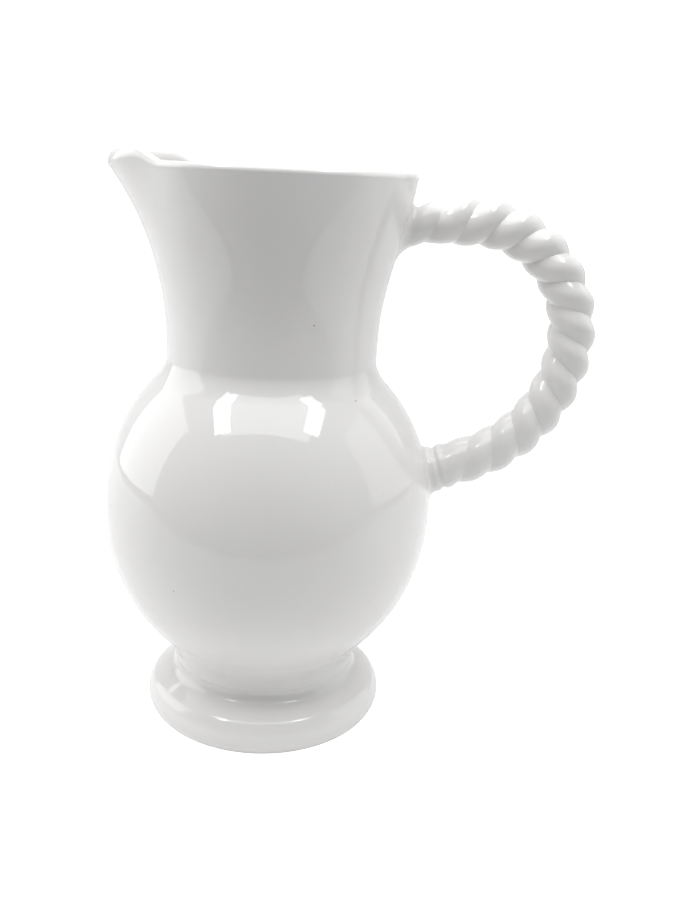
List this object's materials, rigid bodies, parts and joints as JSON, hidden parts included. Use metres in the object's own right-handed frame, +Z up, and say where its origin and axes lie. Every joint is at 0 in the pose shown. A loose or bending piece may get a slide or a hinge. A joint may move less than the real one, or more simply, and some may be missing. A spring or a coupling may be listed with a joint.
{
  "type": "ceramic pitcher",
  "caption": "Footed round-bellied ceramic pitcher in glossy white glaze, with a flared neck, a pulled spout and a twisted rope handle.",
  "frame": {"origin": "centre of the foot ring's resting face", "axes": "+Z up along the pitcher's axis, +X towards the handle, -X towards the spout"},
  "size_m": [0.2072, 0.1424, 0.2445],
  "materials": {
    "glaze": "glossy"
  },
  "bodies": {
    "root": {"foot_ring": "glaze", "foot_slip_seam": "glaze", "belly": "glaze", "neck_slip_seam": "glaze", "neck_with_spout": "glaze", "handle_strand_a": "glaze", "handle_strand_b": "glaze", "upper_handle_boss": "glaze", "lower_handle_boss": "glaze"}
  },
  "joints": []
}
